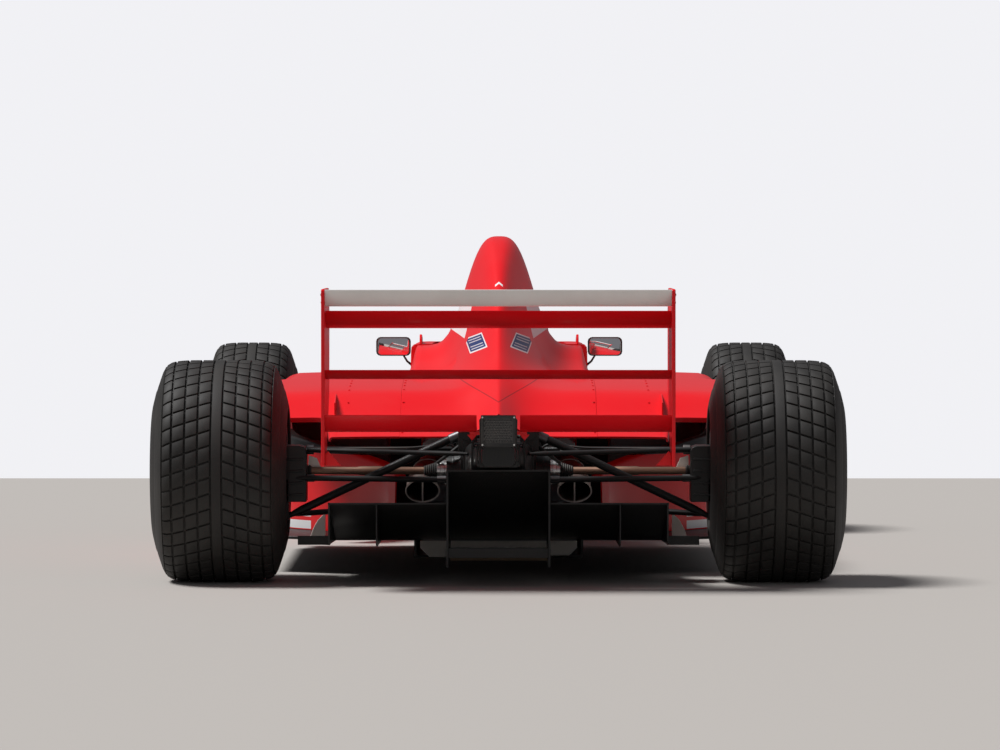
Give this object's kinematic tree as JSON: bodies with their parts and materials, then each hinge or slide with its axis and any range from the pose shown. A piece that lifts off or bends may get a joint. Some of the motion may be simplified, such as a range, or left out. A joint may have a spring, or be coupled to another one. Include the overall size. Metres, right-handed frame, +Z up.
{
  "type": "open wheel racing car",
  "caption": "Single seat open wheel racing car on wet weather tyres, with turning wheels, linked steering, winged ends, hollow cockpit and ducted sidepods.",
  "frame": {"origin": "on the ground, under the middle of the overall box", "axes": "+Y towards the nose, +X to the car's right, +Z up"},
  "size_m": [1.998, 4.3585, 0.999],
  "materials": {
    "red_paint": "gloss",
    "white_paint": "gloss",
    "carbon": "satin",
    "suspension_carbon": "satin",
    "clear_screen": "clear",
    "cockpit_foam": "matte",
    "seat_shell": "matte",
    "wheel_grip": "matte",
    "radiator_core": "matte",
    "plank_wood": "matte",
    "cast_metal": "satin",
    "exhaust_steel": "heat tinted",
    "light_lens": "gloss",
    "steel": "satin",
    "shaft_steel": "brown film",
    "upright_metal": "satin",
    "tyre_rubber": "matte",
    "rim_metal": "satin"
  },
  "bodies": {
    "chassis": {"monocoque": "red_paint", "dashboard": "carbon", "nose_cone": "red_paint", "windscreen": "clear_screen", "cockpit_collar": "cockpit_foam", "seat": "seat_shell", "side_fins": "red_paint", "mirrors": "carbon", "intake_duct": "carbon", "engine_cover": "red_paint", "sidepods": "red_paint", "coke_panels": "red_paint", "radiators": "radiator_core", "bargeboards": "red_paint", "floor": "carbon", "plank": "plank_wood", "diffuser": "carbon", "engine": "cast_metal", "gearbox": "carbon", "exhausts": "exhaust_steel", "rear_light": "light_lens", "front_wing_main": "red_paint", "front_wing_flaps": "red_paint", "front_wing_endplates": "red_paint", "rear_wing_flap": "white_paint", "rear_wing_main": "red_paint", "rear_wing_lower": "red_paint", "rear_wing_endplates": "red_paint", "front_wishbones": "suspension_carbon", "front_pushrods": "suspension_carbon", "rear_wishbones": "suspension_carbon", "rear_links": "suspension_carbon", "rear_uprights": "carbon"},
    "front_upright_left": {"front_upright_left": "upright_metal"},
    "front_upright_right": {"front_upright_right": "upright_metal"},
    "wheel_front_left": {"tyre_front_left": "tyre_rubber", "rim_front_left": "rim_metal"},
    "wheel_front_right": {"tyre_front_right": "tyre_rubber", "rim_front_right": "rim_metal"},
    "wheel_rear_left": {"tyre_rear_left": "tyre_rubber", "rim_rear_left": "rim_metal", "driveshaft_left": "shaft_steel"},
    "wheel_rear_right": {"tyre_rear_right": "tyre_rubber", "rim_rear_right": "rim_metal", "driveshaft_right": "shaft_steel"},
    "steering_rack": {"steering_rack": "steel"},
    "steering_wheel": {"steering_wheel": "wheel_grip"}
  },
  "joints": [
    {"name": "kingpin_left", "type": "hinge", "parent": "chassis", "child": "front_upright_left", "pos_m": [-0.775, 1.221, 0.318], "axis": [0, 0, 1], "range_deg": [-14, 14]},
    {"name": "kingpin_right", "type": "hinge", "parent": "chassis", "child": "front_upright_right", "pos_m": [0.775, 1.221, 0.318], "axis": [0, 0, 1], "range_deg": [-14.5, 14.5]},
    {"name": "rack_slide", "type": "slide", "parent": "chassis", "child": "steering_rack", "axis": [1, 0, 0], "range_m": [-0.0218, 0.0218]},
    {"name": "steering_wheel_turn", "type": "hinge", "parent": "chassis", "child": "steering_wheel", "pos_m": [0, 0.7, 0.452], "axis": [0, -0.9703, 0.2419], "range_deg": [-169, 169]},
    {"name": "wheel_front_left_spin", "type": "hinge", "parent": "front_upright_left", "child": "wheel_front_left", "pos_m": [-0.841, 1.221, 0.318], "axis": [1, 0, 0], "continuous": true},
    {"name": "wheel_front_right_spin", "type": "hinge", "parent": "front_upright_right", "child": "wheel_front_right", "pos_m": [0.841, 1.221, 0.318], "axis": [1, 0, 0], "continuous": true},
    {"name": "wheel_rear_left_spin", "type": "hinge", "parent": "chassis", "child": "wheel_rear_left", "pos_m": [-0.8025, -1.679, 0.32], "axis": [1, 0, 0], "continuous": true},
    {"name": "wheel_rear_right_spin", "type": "hinge", "parent": "chassis", "child": "wheel_rear_right", "pos_m": [0.8025, -1.679, 0.32], "axis": [1, 0, 0], "continuous": true}
  ],
  "couplings": [
    {"joint": "kingpin_right", "follows": "kingpin_left", "ratio": 1},
    {"joint": "rack_slide", "follows": "kingpin_left", "m_per_rad": -0.085},
    {"joint": "steering_wheel_turn", "follows": "kingpin_left", "ratio": 12}
  ]
}
